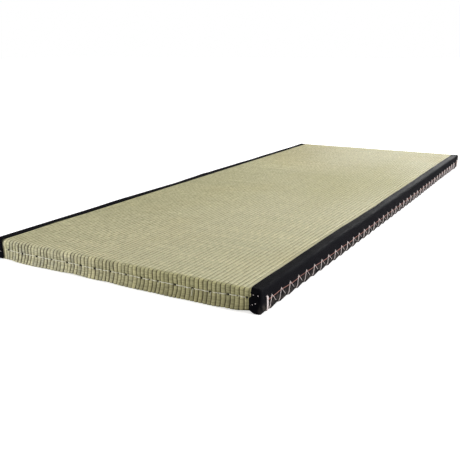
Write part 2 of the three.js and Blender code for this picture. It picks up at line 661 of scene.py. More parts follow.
@dataclass(frozen=True)
class ClothFinish:
    """Close plain-woven black cloth with a faint sheen, a little lint, and painted bounce light from the
    floor low on its sides.
    """

    black: Colour = srgb(5, 5, 10)
    # Lint everywhere, and painted bounce light from the floor low on the sides.
    dust_and_bounce: Colour = srgb(84, 78, 73)
    sheen: Colour = (0.9, 0.93, 1.0)
    yarn_pitch: float = 0.7 * MM
    bounce_below: float = 25 * MM
    bounce_past: Range = (390 * MM, 398 * MM)
    brightest_bounce: float = 0.42
    least_dust: float = 0.015

    def material(self) -> Material:
        """Builds the finish.

        Returns:
            The material.
        """
        graph = Graph.of_material("edge_cloth")
        warp, weft = ((yarn * (math.tau / self.yarn_pitch)).sine() for yarn in graph.weave())
        yarn = warp * weft * 0.5 + 0.5
        place = graph.object_place()
        across, _, height = graph.split(place)
        # Painted bounce light from the floor: the sides are lighter low down, over a little lint
        # everywhere.
        on_side = abs(across).step(*self.bounce_past)
        lint = graph.noise(place, scale=90.0, detail=4.0)
        worn = graph.noise(place, scale=14.0, detail=3.0)
        low = 1 - height.step(0.6 * self.bounce_below, self.bounce_below)
        dust_and_bounce_share = low * on_side * self.brightest_bounce + self.least_dust
        colour = graph.blend(lint.step(0.3, 0.7) * dust_and_bounce_share, self.black, self.dust_and_bounce)
        return graph.surface(
            # The weave is darker where the yarns dip: painted shade.
            Base_Color=graph.scale(colour, 0.75 + yarn * 0.35 + worn * 0.2),
            Roughness=0.55 + worn * 0.2,
            Specular_IOR_Level=0.04,
            Sheen_Weight=0.004,
            Sheen_Roughness=0.35,
            Sheen_Tint=self.sheen,
            Normal=graph.bump(yarn, 0.18 * MM, 0.5),
        )


@dataclass(frozen=True)
class ThreadFinish:
    """Twisted sewing thread."""

    name: str
    pale: Colour
    dark: Colour
    lay: float = 3.2 * MM

    def material(self) -> Material:
        """Builds the finish.

        Returns:
            The material.
        """
        graph = Graph.of_material(self.name)
        around, along = graph.weave()
        strand = ((around * 2 + along / self.lay) * math.tau).sine() * 0.5 + 0.5
        soiled_and_shaded = graph.noise(graph.object_place(), scale=60.0, detail=3.0)
        colour = graph.blend((soiled_and_shaded - 0.4).step(0.0, 0.3) * 0.4, self.pale, self.dark)
        return graph.surface(
            # Darker between the strands: painted shade.
            Base_Color=graph.scale(colour, 0.8 + strand * 0.2),
            Roughness=0.6 + soiled_and_shaded * 0.2,
            Specular_IOR_Level=0.25,
            Normal=graph.bump(strand, 0.25 * MM, 0.7),
        )


class ShelfStep(NamedTuple):
    """One place on the pad under the edge cloth, in millimetres out from the outermost groove."""

    out: float
    drop: float
    lift: float


@dataclass
class RushFacing:
    """The rush-faced pad: ribs along the top, bent down over both ends and drawn in by the sewing."""

    sizes: MatSizes
    ribs: int = 65
    rib_on_top: float = 1.5 * MM
    rib_on_end: float = 2.2 * MM
    rib_power: float = 2.3
    end_rib_power: float = 0.7
    top_unevenness: float = 0.10
    end_unevenness: float = 0.14
    end_swell: float = 0.5 * MM
    sole_bend: float = 1.2 * MM
    pressed_below: float = 36.5 * MM
    pressed_from: float = 367.0 * MM
    seam_left: float = 26.0 * MM
    seam_right: float = 29.9 * MM
    seam_rise: float = 4.8 * MM
    seam_rise_over: Range = (0.272, 0.352)
    seam_hitch: float = 2.4 * MM
    seam_hitch_over: Range = (0.3, 0.37)
    seam_waver: float = 0.6 * MM
    seam_depth: float = 1.2 * MM
    seam_reach: float = 2.6 * MM
    hole_depth: float = 3.6 * MM
    hole_reach: float = 2.5 * MM
    dimple: float = 0.45
    gash_reach: float = 1.6 * MM
    corner_lift: float = 6.0 * MM
    corner_over: Range = (0.336, 0.376)
    corner_end: Range = (0.38, 0.392)
    hang_height: float = 30 * MM
    tucked: float = 2.0
    foot_fray: float = 0.9 * MM
    fray_height: float = 12 * MM
    foot_flare: float = 7.5 * MM
    flare_from: float = 23.4 * MM
    flare_height: float = 30 * MM
    flare_within: Range = (0.32, 0.366)
    top_stray: float = 0.5 * MM
    end_stray: float = 1.1 * MM
    kink: float = 0.4 * MM
    calm_over: float = 20 * MM
    top_rows: int = 88
    bend_steps: int = 8
    near_bends: Range = (13 * MM, 3 * MM)
    far_bends: Range = (4 * MM, 4 * MM)
    phases: tuple[float, ...] = (0.0, 0.06, 0.16, 0.32, 0.5, 0.68, 0.84, 0.94)
    sole_angles: tuple[float, ...] = (-90, -60, -30, 0)
    face_levels: tuple[float, ...] = (
        4, 7, 10, 13, 16, 19, 21.5, 23.5, 25, 26, 27, 28, 29, 30, 31, 32, 33.5, 35.5, 38,
    )
    shelf: tuple[ShelfStep, ...] = (
        ShelfStep(2.0, 0.0, 0.0),
        ShelfStep(6.4, 0.0, 0.0),
        ShelfStep(6.6, 0.0, 2.3),
        ShelfStep(16.0, 0.0, 2.3),
        ShelfStep(22.3, 0.0, 2.3),
        ShelfStep(24.4, 0.56, 2.3),
        ShelfStep(25.94, 2.1, 2.3),
        ShelfStep(26.5, 4.2, 2.3),
    )
    holes: tuple[float, ...] = (
        -354, -302, -250, -197, -146.5, -99.5, -54.5, -5.5, 43.5, 88, 135, 181, 228.5, 275, 319, 366,
    )
    gashes: tuple[tuple[int, float], ...] = ((5, 0.5), (7, 0.7), (8, 1.5), (10, 1.2), (12, 0.8), (13, 1.2))
    foot_bows: Bows = (
        Bow(-0.338, 0.016, 1.5), Bow(-0.125, 0.032, 2.1), Bow(-0.01, 0.022, 1.1), Bow(0.318, 0.02, 1.9),
    )
    flare_bows: Bows = (
        Bow(-0.265, 0.035, 2.0), Bow(0.075, 0.055, 3.0), Bow(0.172, 0.03, 2.5),
    )

    @property
    def rib_pitch(self) -> float:
        """Width of one rib."""
        return 2 * self.sizes.field_edge / self.ribs

    def hole_places(self, end: End) -> Array:
        """Gives the places across the mat of the stitch holes on one end."""
        return -end.value * np.array(self.holes) * MM

    def seam_height(self, x: Array) -> Array:
        """Gives the height of the row of sewing at places across the mat.

        Args:
            x: Places across the mat.

        Returns:
            The height at every place.
        """
        slope = self.seam_left + (self.seam_right - self.seam_left) * self.sizes.share_across(x)
        rise = self.seam_rise * ease(x, *self.seam_rise_over)
        hitch = self.seam_hitch * ease(-x, *self.seam_hitch_over)
        return slope + (rise + hitch) + self.seam_waver * wander(Seed.SEAM, x / 0.09)

    def profile(self, x: Array) -> Array:
        """Gives the share of a rib's height at places across the mat.

        Args:
            x: Places across the mat.

        Returns:
            The share at every place, 0 in a groove and 1 on a rib's crest.
        """
        phase = np.mod((x + self.sizes.field_edge) / self.rib_pitch, 1.0)
        inside = np.abs(x) < self.sizes.field_edge
        return np.where(inside, 1 - np.abs(2 * phase - 1) ** self.rib_power, 0.0)

    def hole_share(self, x: Array, z: Array, end: End) -> Array:
        """Gives 1 in a stitch hole of one end, less in the dimples half-way, falling to 0 around them.

        Args:
            x: Places across the mat.
            z: Heights above the floor.
            end: Which end.

        Returns:
            The share at every place.
        """
        places = self.hole_places(end)
        off_seam = z - self.seam_height(x)
        from_hole = np.abs(x[..., None] - places).min(axis=-1)
        from_dimple = np.abs(x[..., None] - (places[:-1] + places[1:]) / 2).min(axis=-1)
        hole = bell(np.hypot(from_hole, off_seam), self.hole_reach)
        return np.maximum(hole, self.dimple * bell(np.hypot(from_dimple, off_seam), self.hole_reach))

    def gash_depth(self, x: Array, z: Array, end: End) -> Array:
        """Gives how far the grooves under some stitches are drawn in.

        Args:
            x: Places across the mat.
            z: Heights above the floor.
            end: Which end.

        Returns:
            The depth at every place.
        """
        places = self.hole_places(end)
        below = ease(self.seam_height(x) - z, -1 * MM, 3 * MM)
        drawn = (depth * MM * bell(x - places[hole], self.gash_reach) for hole, depth in self.gashes)
        return below * sum(drawn)

    def end_relief(self, x: Array, z: Array, end: End) -> Array:
        """Gives how far the rush stands out of its groove level on an end.

        Args:
            x: Places across the mat.
            z: Heights above the floor.
            end: Which end.

        Returns:
            The distance outwards at every place.
        """
        uneven = 1 + self.end_unevenness * wander(Seed.END_RIBS, x / 0.03, z / 0.05)
        rib = self.rib_on_end * self.profile(x) ** self.end_rib_power * uneven
        pressed = ease(np.abs(x), self.pressed_from - 1 * MM, self.pressed_from) * (z < self.pressed_below)
        seam = self.seam_depth * bell(z - self.seam_height(x), self.seam_reach)
        holes = self.hole_depth * self.hole_share(x, z, end)
        swell = self.end_swell * wander(Seed.END_SWELL, x / 0.16, z / 0.07)
        flare = self.foot_flare + bowed(self.flare_bows, x * -end.value)
        flare = flare * ease(self.flare_from - z, 0.0, self.flare_height)
        flare = flare * fade(np.abs(x), *self.flare_within)
        inside = np.abs(x) < self.sizes.field_edge
        drawn = (seam + holes + self.gash_depth(x, z, end) - swell - flare) * inside
        return (rib - drawn) * (1 - pressed)

    def top_relief(self, x: Array, y: Array) -> Array:
        """Gives how far the rush stands above its groove level on top."""
        uneven = 1 + self.top_unevenness * wander(Seed.TOP_RIBS, x / 0.04, y / 0.12)
        return self.rib_on_top * self.profile(x) * uneven

    def hang(self, x: Array, end: End) -> Array:
        """Gives how far the lower edge of an end hangs clear of the floor, apart from its fray.

        Args:
            x: Places across the mat.
            end: Which end.

        Returns:
            The distance upwards at every place.
        """
        place = x * -end.value
        corner = ease(place, *self.corner_over) * fade(place, *self.corner_end)
        return bowed(self.foot_bows, place) + self.corner_lift * corner

    def foot_lift(self, x: Array, z: Array, end: End) -> Array:
        """Gives how far the ragged lower edge of an end hangs clear of the floor.

        Args:
            x: Places across the mat.
            z: Heights above the floor.
            end: Which end.

        Returns:
            The distance upwards at every place.
        """
        rib = np.floor((x + self.sizes.field_edge) / self.rib_pitch).astype(int)
        lengths = np.random.default_rng(Seed.FRAY).uniform(0, 1, self.ribs)[np.clip(rib, 0, self.ribs - 1)]
        fray = self.foot_fray * (lengths + 1 - self.profile(x)) * fade(z, 0.0, self.fray_height)
        return fray + self.hang(x, end) * fade(z, 0.0, self.hang_height)

    def columns(self) -> tuple[Array, Array, Array]:
        """Gives the places across the mat, and at each the drop of the top and the lift of the sole.

        Returns:
            The places, the drops and the lifts.
        """
        edge = self.sizes.field_edge
        ribs = -edge + (np.arange(self.ribs)[:, None] + np.array(self.phases)).ravel() * self.rib_pitch
        out, drop, lift = np.array(self.shelf).T * MM
        flat = np.zeros(len(ribs) + 1)
        x = np.concatenate([-(edge + out[::-1]), ribs, [edge], edge + out])
        return x, np.concatenate([drop[::-1], flat, drop]), np.concatenate([lift[::-1], flat, lift])

    def end_rows(self, x: Array, drop: Array, lift: Array, end: End) -> tuple[Array, Array, Array]:
        """Builds the rows over one end, from the sole up and round onto the top.

        Args:
            x: Places of the columns across the mat.
            drop: How far each column lies below the top and behind the end.
            lift: Height of the sole at each column.
            end: Which end.

        Returns:
            The points, the distances along the facing and the shares of a stitch hole, by row and column.
        """
        left, right = self.near_bends if end is End.NEAR else self.far_bends
        bend = left + (right - left) * self.sizes.share_across(x)
        reach, top = self.sizes.groove_end - drop, self.sizes.groove_top - drop
        tuck = self.tucked * self.hang(x, end)
        rows = []
        for angle in np.radians(self.sole_angles):
            outwards, upwards = math.cos(angle), math.sin(angle)
            out = reach - self.sole_bend * (1 - outwards) - tuck * (angle < 0)
            rows.append((out, lift + self.sole_bend * (1 + upwards), outwards, upwards))
        for level in self.face_levels:
            rows.append((reach, np.full_like(x, level * MM), 1.0, 0.0))
        for angle in np.linspace(0, math.pi / 2, self.bend_steps + 1):
            outwards, upwards = math.cos(angle), math.sin(angle)
            rows.append((reach - bend * (1 - outwards), top - bend * (1 - upwards), outwards, upwards))
        points, sewn = [], []
        for out, z, outwards, upwards in rows:
            share = max(upwards, 0.0) ** 2
            on_top = self.top_relief(x, end.value * out)
            relief = (1 - share) * self.end_relief(x, z, end) + share * on_top
            raised = self.foot_lift(x, z, end) * (1 + min(upwards, 0.0))
            height = z + relief * max(upwards, 0.0) + raised
            points.append(np.stack([x, end.value * (out + relief * outwards), height], -1))
            sewn.append(self.hole_share(x, z, end) * outwards)
        base = np.stack([np.stack([out, z], -1) for out, z, _, _ in rows])
        steps = np.linalg.norm(np.diff(base, axis=0), axis=-1)
        climb = np.concatenate([np.cumsum(steps[::-1], axis=0)[::-1], np.zeros((1, len(x)))])
        travel = end.value * (base[-1, :, 0] + climb)
        return np.stack(points), travel, np.stack(sewn)

    def sway(self, x: Array, travel: Array) -> Array:
        """Gives how far the ribs stray sideways, least on top and not at all beside the edge cloths.

        Args:
            x: Places across the mat.
            travel: Distances along the facing from the mat's middle, by row and column.

        Returns:
            The shift across the mat, by row and column.
        """
        end = self.sizes.groove_end
        on_end = ease(np.abs(travel), end - self.calm_over, end + self.calm_over)
        stray = self.top_stray + (self.end_stray - self.top_stray) * on_end
        sway = stray * wander(Seed.SWAY, x / 0.05, travel / 0.13)
        sway = sway + self.kink * on_end * wander(Seed.KINKS, x / 0.03, travel / 0.035)
        return sway * ease(self.sizes.field_edge - np.abs(x), 0.0, self.calm_over)

    def build(self) -> Object:
        """Builds the pad as one closed mesh.

        Returns:
            The pad, with empty material slots for the rush and the sole.
        """
        x, drop, lift = self.columns()
        near, near_travel, near_sewn = self.end_rows(x, drop, lift, End.NEAR)
        far, far_travel, far_sewn = (part[::-1] for part in self.end_rows(x, drop, lift, End.FAR))
        share = np.linspace(0, 1, self.top_rows + 2)[1:-1, None]
        y = near_travel[-1] + (far_travel[0] - near_travel[-1]) * share
        z = self.sizes.groove_top - drop + self.top_relief(x, y)
        points = np.concatenate([near, np.stack(np.broadcast_arrays(x, y, z), -1), far])
        travel = np.concatenate([near_travel, y, far_travel])
        points[..., 0] += self.sway(x, travel)

        draft = MeshDraft()
        numbers = draft.add_points(points)
        draft.add_squares(numbers, np.stack([np.broadcast_to(x, travel.shape), travel], -1))
        sole_from = len(draft.faces)
        first, last = numbers[0], numbers[-1]
        for face in np.stack([last[:-1], last[1:], first[1:], first[:-1]], -1):
            draft.add_face(face)
        draft.add_face(numbers[:, 0])
        draft.add_face(numbers[::-1, -1])
        pad = draft.to_object("rush_facing")
        # The stitch-hole shares go to the rush finish, which paints shadow into the holes.
        sewn = np.concatenate([near_sewn, np.zeros_like(y), far_sewn]).astype(np.float32)
        pad.data.attributes.new(SEWN, "FLOAT", "POINT").data.foreach_set("value", sewn.ravel())
        slots = np.zeros(len(draft.faces), np.int32)
        slots[sole_from:] = 1
        pad.data.materials.append(None)
        pad.data.materials.append(None)
        pad.data.polygons.foreach_set("material_index", slots)
        return pad

    def dress(self, pad: Object) -> None:
        """Args:
            pad: The pad that build gave.
        """
        end_from = self.sizes.groove_end - self.near_bends[0]
        rush = RushFinish().material(self.sizes.field_edge, self.rib_pitch, end_from)
        for slot, finish in zip(pad.material_slots, (rush, SoleFinish().material())):
            slot.material = finish
        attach(pad, BODY)
        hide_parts("rush_mat")


class Sewing:
    """Stitches on the mat, made as pieces of thread."""

    def dress(self, thread: Object, finish: Material) -> None:
        """Gives a thread its finish and seats it on the mat.

        Args:
            thread: The piece of sewing.
            finish: The thread's material.
        """
        thread.data.materials.append(finish)
        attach(thread, BODY)


@dataclass
class EndSeam(Sewing):
    """The row of sewing across one end: a thread that lies over the ribs and dips into each hole."""

    facing: RushFacing
    end: End
    thread_radius: float = 1.1 * MM
    proud: float = 0.7
    hole_gap: float = 3.0 * MM
    edge_gap: float = 3.0 * MM
    step: float = 1.0 * MM
    slack_steps: int = 6
    slack_reach: float = 0.9 * MM
    tight: float = 1.3 * MM
    tight_over: Range = (0.0, 0.6)
    dip: float = 3.2 * MM
    dip_reach: float = 1.6 * MM
    tail_from: float = 0.5 * MM
    tail_aside: float = 0.6 * MM
    tail_curl: float = 0.4 * MM
    tail_wave: float = 4 * MM
    tail_thinness: float = 0.7
    tail_points: int = 12
    tails: tuple[tuple[int, float], ...] = ((10, 7.0), (12, 16.0), (13, 8.0))

    def outward(self, x: Array, z: Array) -> Array:
        """Gives the distance from the mat's middle to the rush at places on the end."""
        return self.facing.sizes.groove_end + self.facing.end_relief(x, z, self.end)

    def stitch(self, start: float, stop: float) -> Array:
        """Lays one stitch from hole to hole.

        Args:
            start: Place across the mat of the first hole.
            stop: Place across the mat of the second hole.

        Returns:
            Points along the thread.
        """
        start, stop = start + self.hole_gap, stop - self.hole_gap
        x = np.linspace(start, stop, max(4, int(abs(stop - start) / self.step)))
        z = self.facing.seam_height(x)
        rush = self.outward(x, z)
        spread = np.arange(-self.slack_steps, self.slack_steps + 1) * self.step
        around = np.stack([self.outward(x + shift, z) for shift in spread])
        weights = bell(spread, self.slack_reach)[:, None]
        taut = (around * weights).sum(axis=0) / weights.sum()
        ends = bell(x - start, self.dip_reach) + bell(x - stop, self.dip_reach)
        ends += self.facing.dimple * bell(x - (start + stop) / 2, self.dip_reach)
        drawn_in = self.tight * ease(wander(Seed.SLACK, x / 0.02), *self.tight_over) + self.dip * ends
        out = np.maximum(taut, rush) + self.proud * self.thread_radius - drawn_in
        return np.stack([x, self.end.value * out, z], -1)

    def tail(self, place: float, length: float) -> Array:
        """Lays a loose thread end down the rush below a hole.

        Args:
            place: Place of the hole across the mat.
            length: How far it hangs.

        Returns:
            Points along the thread.
        """
        seam = float(self.facing.seam_height(np.array([place]))[0])
        z = np.linspace(seam - self.tail_from, seam - length, self.tail_points)
        x = place + self.tail_aside + self.tail_curl * np.sin(z / self.tail_wave)
        out = self.outward(x, z) + self.proud * self.thread_radius
        return np.stack([x, self.end.value * out, z], -1)

    def build(self) -> Object:
        """Builds all the stitches of the end as one joined mesh.

        Returns:
            The joined threads.
        """
        draft = MeshDraft()
        places = self.facing.hole_places(self.end)
        edge = self.facing.sizes.field_edge - self.edge_gap
        stops = np.concatenate([[-edge], np.sort(places), [edge]])
        for start, stop in zip(stops[:-1], stops[1:]):
            if stop - start > 4 * self.hole_gap:
                draft.add_thread(self.stitch(start, stop), self.thread_radius)
        for hole, length in self.tails:
            draft.add_thread(self.tail(places[hole], length * MM), self.tail_thinness * self.thread_radius)
        return draft.to_object(f"end_seam_{self.end.label}")


class FoldedEnd(NamedTuple):
    """How one edge cloth's folded ends lie: the line of their inner edge from top to foot."""

    narrowing: float
    lean: float
    step: float
    foot: float
    mitre: float


@dataclass(frozen=True)
class ClothShape:
    """What differs between the two edge cloths: the bend, the folded ends and the bowed edges."""

    bend: float
    fold: FoldedEnd
    inner_bows: Bows
    side_bows: Bows = ()
    top_bows: Bows = ()


CLOTH_SHAPES = {
    Edge.LEFT: ClothShape(
        bend=4.5 * MM,
        fold=FoldedEnd(4.4 * MM, 3.2 * MM, 0.0, 6.5 * MM, 0.0),
        inner_bows=(
            Bow(-0.8, 0.2, -6), Bow(-0.42, 0.16, -5), Bow(-0.1, 0.13, -5), Bow(0.13, 0.06, -5.5),
            Bow(0.8, 0.08, 3.5), Bow(0.97, 0.06, -3.2),
        ),
        top_bows=(
            Bow(-0.8, 0.2, -1.3), Bow(-0.47, 0.1, -1.3), Bow(-0.026, 0.04, 1.9), Bow(0.15, 0.06, -1.4),
            Bow(0.28, 0.09, -0.6), Bow(0.5, 0.1, 1.1),
        ),
    ),
    Edge.RIGHT: ClothShape(
        bend=6.5 * MM,
        fold=FoldedEnd(5.0 * MM, 1.5 * MM, 4.7 * MM, 9.0 * MM, 6 * MM),
        inner_bows=(Bow(-0.58, 0.1, -1.9), Bow(-0.2, 0.13, 3.6), Bow(0.18, 0.21, 2.8)),
        side_bows=(Bow(-0.78, 0.11, -1.0), Bow(0.65, 0.32, -2.6)),
    ),
}


@dataclass
class EdgeCloth:
    """The black cloth bound round one long edge, folded over both corners and turned under as a hem."""

    sizes: MatSizes
    edge: Edge
    end_bend: float = 7.5 * MM
    least_bend: float = 0.6 * MM
    lip: float = 1.2 * MM
    hem_bend: float = 3.5 * MM
    least_hem_bend: float = 0.5 * MM
    hem_width: float = 22 * MM
    thickness: float = 1.6 * MM
    row_step: float = 3.0 * MM
    fold_height: float = 35.5 * MM
    fold_proud: float = 0.9 * MM
    end_swell: float = 0.5 * MM
    end_unevenness: float = 0.35 * MM
    tuck_depth: float = 1.2 * MM
    tuck_reach: float = 0.07
    side_flare: float = 3.0 * MM
    flare_height: float = 48 * MM
    side_swell: float = 0.45 * MM
    edge_waver: float = 0.5 * MM
    edge_climb: float = 0.22
    top_unevenness: float = 0.35 * MM
    stitch_pitch: float = 46.45 * MM
    stitch_stray: float = 1.2 * MM
    first_stitch: float = 52.3 * MM
    anchor_stitch: float = 28.5 * MM
    apex_height: float = 29.8 * MM
    apex_sink: float = 4.5 * MM
    apex_sunk_within: Range = (0.45, 0.95)
    dimple_depth: float = 1.3 * MM
    dimple_reach: float = 4 * MM
    near_foot: float = -12 * MM
    far_foot: float = 20.5 * MM
    far_foot_height: float = 9 * MM
    line_below: float = 4.6 * MM
    line_depth: float = 0.35 * MM
    line_reach: float = 2 * MM
    foot_pull: float = 3.2 * MM
    foot_swell: float = 2.4 * MM
    foot_over: Range = (2 * MM, 16 * MM)
    foot_lift: float = 1.7 * MM
    lifted_below: float = 12 * MM
    reach_before: float = 42 * MM
    reach_after: float = 2 * MM
    lip_steps: int = 3
    top_steps: int = 8
    bend_steps: int = 7
    side_steps: int = 18
    hem_bend_steps: int = 4
    hem_steps: int = 4
    wrap_steps: int = 6
    cap_shares: tuple[float, ...] = (0.0, 0.06, 0.2, 0.4, 0.6, 0.8, 0.93)

    @property
    def shape(self) -> ClothShape:
        """What is this edge's own."""
        return CLOTH_SHAPES[self.edge]

    def apex_level(self, y: Array) -> Array:
        """Gives the height of the lacing's upper points at places along the edge."""
        return self.apex_height - self.apex_sink * fade(np.abs(y), *self.apex_sunk_within)

    def apexes(self) -> Array:
        """Gives the places along the edge of the lacing's upper points, before this edge is turned round.

        Returns:
            The places, from the near end on.
        """
        first = -self.sizes.half_length + self.first_stitch
        room = self.sizes.half_length - self.anchor_stitch - self.far_foot - first
        even = first + np.arange(int(room / self.stitch_pitch) + 1) * self.stitch_pitch
        return even + self.stitch_stray * wander(Seed.LACING + self.edge.value, even / 0.1)

    def anchors(self) -> Array:
        """Gives the places of the upright double stitches that begin and end the lacing."""
        reach = self.sizes.half_length - self.anchor_stitch
        return np.array([-reach, reach])

    def feet(self) -> Array:
        """Gives the places along the edge where the lacing goes under it."""
        return np.concatenate([self.anchors(), self.apexes() + self.near_foot])

    def drawn_up(self, y: Array) -> Array:
        """Gives the share by which the thread draws the lower edge in at places along it.

        Args:
            y: Places along the edge.

        Returns:
            The share at every place, 1 at a foot of the lacing.
        """
        past = y[..., None] - self.feet()
        pull = np.where(past < 0, 1 + past / self.reach_before, bell(past, self.reach_after))
        return pull.max(axis=-1, initial=0.0)

    def side_relief(self, y: Array, z: Array) -> Array:
        """Gives how far the side stands out, with the lacing drawing it in.

        Args:
            y: Places along the edge.
            z: Heights above the floor.

        Returns:
            The distance outwards at every place.
        """
        away = np.abs(y[..., None] - self.apexes()).min(axis=-1)
        level = self.apex_level(y)
        dimples = self.dimple_depth * bell(np.hypot(away, z - level), self.dimple_reach)
        line = self.line_depth * bell(z - level + self.line_below, self.line_reach)
        feet = (self.foot_pull * self.drawn_up(y) - self.foot_swell) * fade(z, *self.foot_over)
        swell = self.side_swell * wander(Seed.CLOTH_SIDE + self.edge.value, y / 0.12, z / 0.06)
        flare = self.side_flare * (1 - (y / self.sizes.half_length) ** 2) + bowed(self.shape.side_bows, y)
        return swell + flare * fade(z, 0.0, self.flare_height) - dimples - line - feet

    def outline(self, inset: float, narrowing: float = 0.0, mitre: float = 0.0) -> Array:
        """Gives the cloth's outer face in section, from its edge on top round to the hem.

        Args:
            inset: How far inside the mat's full outline the section lies.
            narrowing: How far the edge on top lies outside its usual place.
            mitre: How far the edge of the hem lies outside its usual place.

        Returns:
            Points as place across the mat and height.
        """
        inner = self.sizes.cloth_edge + narrowing + self.lip
        outer, top = self.sizes.half_width - inset, self.sizes.thickness - inset
        bend = max(self.shape.bend - inset, self.least_bend)
        floor = FLOOR_GAP + 0.12 * inset
        turn = max(self.hem_bend - 0.5 * inset, self.least_hem_bend)
        hem = self.sizes.half_width - self.hem_width + mitre

        def arc(x: float, z: float, radius: float, start: float, stop: float, count: int) -> Array:
            """Gives an arc's points, without its last one."""
            angle = np.radians(np.linspace(start, stop, count, endpoint=False))
            return np.stack([x + radius * np.cos(angle), z + radius * np.sin(angle)], -1)

        def line(start: Range, stop: Range, count: int) -> Array:
            """Gives a straight run's points, without its last one."""
            return np.linspace(start, stop, count, endpoint=False)

        return np.concatenate([
            arc(inner, top - self.lip, self.lip, 180, 90, self.lip_steps),
            line((inner, top), (outer - bend, top), self.top_steps),
            arc(outer - bend, top - bend, bend, 90, 0, self.bend_steps),
            line((outer, top - bend), (outer, floor + turn), self.side_steps),
            arc(outer - turn, floor + turn, turn, 0, -90, self.hem_bend_steps),
            line((outer - turn, floor), (hem, floor), self.hem_steps),
            [(hem, floor)],
        ])

    def cap(self, end: End) -> Array:
        """Builds the folded end as rows from its inner edge out to the outline's start along the mat.

        Args:
            end: Which end.

        Returns:
            The points, by row and column.
        """
        folded = self.shape.fold
        rim = self.outline(self.end_bend, folded.narrowing, folded.mitre)
        height = rim[0, 1] + (folded.foot - rim[0, 1]) * np.linspace(0, 1, len(rim))
        inner = self.sizes.cloth_edge + folded.narrowing
        inner = inner - np.where(height < self.fold_height, folded.step, 0.0)
        inner = inner - folded.lean * (1 - height / self.sizes.thickness)
        rows = []
        for out in self.cap_shares:
            x = inner + (rim[:, 0] - inner) * out
            z = height + (rim[:, 1] - height) * out
            fold = np.where(z < self.fold_height, self.fold_proud, 0.0) * (1 - out) ** 0.5
            tuck = self.tuck_depth * bell(np.full_like(x, out), self.tuck_reach)
            swell = self.end_swell * math.sin(math.pi * out)
            swell = swell + self.end_unevenness * wander(Seed.CLOTH_ENDS, x / 0.02, z / 0.03)
            y = end.value * (self.sizes.half_length + fold + swell - tuck)
            rows.append(np.stack([x, y, z], -1))
        return np.stack(rows)

    def wrap(self, end: End) -> Array:
        """Builds the rows where the cloth turns from the folded end onto the top and side.

        Args:
            end: Which end.

        Returns:
            The points, by row and column.
        """
        folded = self.shape.fold
        rows = []
        for angle in np.radians(np.linspace(0, 90, self.wrap_steps, endpoint=False)):
            narrowing = folded.narrowing * (1 + math.cos(angle)) / 2
            x, z = self.outline(self.end_bend * (1 - math.sin(angle)), narrowing, folded.mitre).T
            y = end.value * (self.sizes.half_length - self.end_bend * (1 - math.cos(angle)))
            rows.append(np.stack([x, np.full(len(x), y), z], -1))
        return np.stack(rows)

    def run(self) -> Array:
        """Builds the rows along the edge, uneven and drawn in by the lacing.

        Returns:
            The points, by row and column.
        """
        folded, bend = self.shape.fold, self.shape.bend
        edge, outside = self.sizes.cloth_edge, self.sizes.half_width
        across, height = self.outline(0.0).T
        reach = self.sizes.half_length - self.end_bend
        rows = np.linspace(-reach, reach, int(2 * reach / self.row_step))[:, None]
        x, y, z = np.broadcast_arrays(across, rows, height)

        # Shares of the side, the inner edge, the lower edge, the top and the hem at each point
        calm = ease(reach - np.abs(y), 0.0, 20 * MM)
        side = ease(x, outside - bend, outside) * fade(z, 44 * MM, 54 * MM)
        inner = fade(x, edge, edge + 10 * MM) * (z > 40 * MM)
        low = fade(z, 0.0, self.lifted_below) * ease(x, outside - 20 * MM, outside)
        on_top = ease(x, edge + 5 * MM, outside - bend) * ease(z, 30 * MM, 50 * MM)
        hem = (outside - self.hem_bend - x) / (self.hem_width - self.hem_bend) * (z < 2 * FLOOR_GAP)

        uneven = self.edge_waver * wander(Seed.CLOTH_EDGE + self.edge.value, y / 0.16)
        uneven = uneven + bowed(self.shape.inner_bows, y)
        shifted = x + self.side_relief(y, z) * side * calm + uneven * inner * calm
        shifted = shifted + folded.narrowing / 2 * ease(np.abs(y), reach - 12 * MM, reach) * inner
        shifted = shifted + folded.mitre * np.maximum(hem, 0.0) * ease(np.abs(y), reach - 25 * MM, reach)
        climb = self.edge_climb * np.maximum(-uneven, 0.0) * inner * calm
        ripple = self.top_unevenness * wander(Seed.CLOTH_TOP + self.edge.value, y / 0.2, x / 0.02)
        raised = z + self.foot_lift * self.drawn_up(y) * low + climb + ripple * (z > 50 * MM) * calm
        raised = raised + bowed(self.shape.top_bows, y) * on_top * calm
        return np.stack([shifted, y, raised], -1)

    def build(self) -> Object:
        """Builds the cloth as one sheet of its real thickness.

        Returns:
            The cloth.
        """
        near = [self.cap(End.NEAR), self.wrap(End.NEAR)]
        far = [self.wrap(End.FAR)[::-1], self.cap(End.FAR)[::-1]]
        points = np.concatenate([*near, self.run(), *far])
        middle = points[:, points.shape[1] // 2]
        weave = np.stack(np.meshgrid(travelled(self.outline(0.0)), travelled(middle)), -1)
        points[..., :2] *= self.edge.value
        draft = MeshDraft()
        draft.add_squares(draft.add_points(points), weave)
        cloth = draft.to_object(f"edge_cloth_{self.edge.label}_sheet")
        bpy.ops.object.select_all(action="DESELECT")
        cloth.select_set(True)
        bpy.context.view_layer.objects.active = cloth
        solid = cloth.modifiers.new("thickness", "SOLIDIFY")
        solid.thickness = self.thickness
        solid.offset = -1.0
        bpy.ops.object.modifier_apply(modifier=solid.name)
        for vertex in cloth.data.vertices:
            vertex.co.z = max(vertex.co.z, FLOOR_GAP)
        return cloth

    def dress(self, cloth: Object, sewing: list[Object]) -> None:
        """Args:
            cloth: The cloth that build gave.
            sewing: The pieces sewn to it; not used.
        """
        cloth.data.materials.append(ClothFinish().material())
        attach(cloth, BODY)
        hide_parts(f"edge_cloth_{self.edge.label}")
        width = float(travelled(self.outline(0.0))[-1])


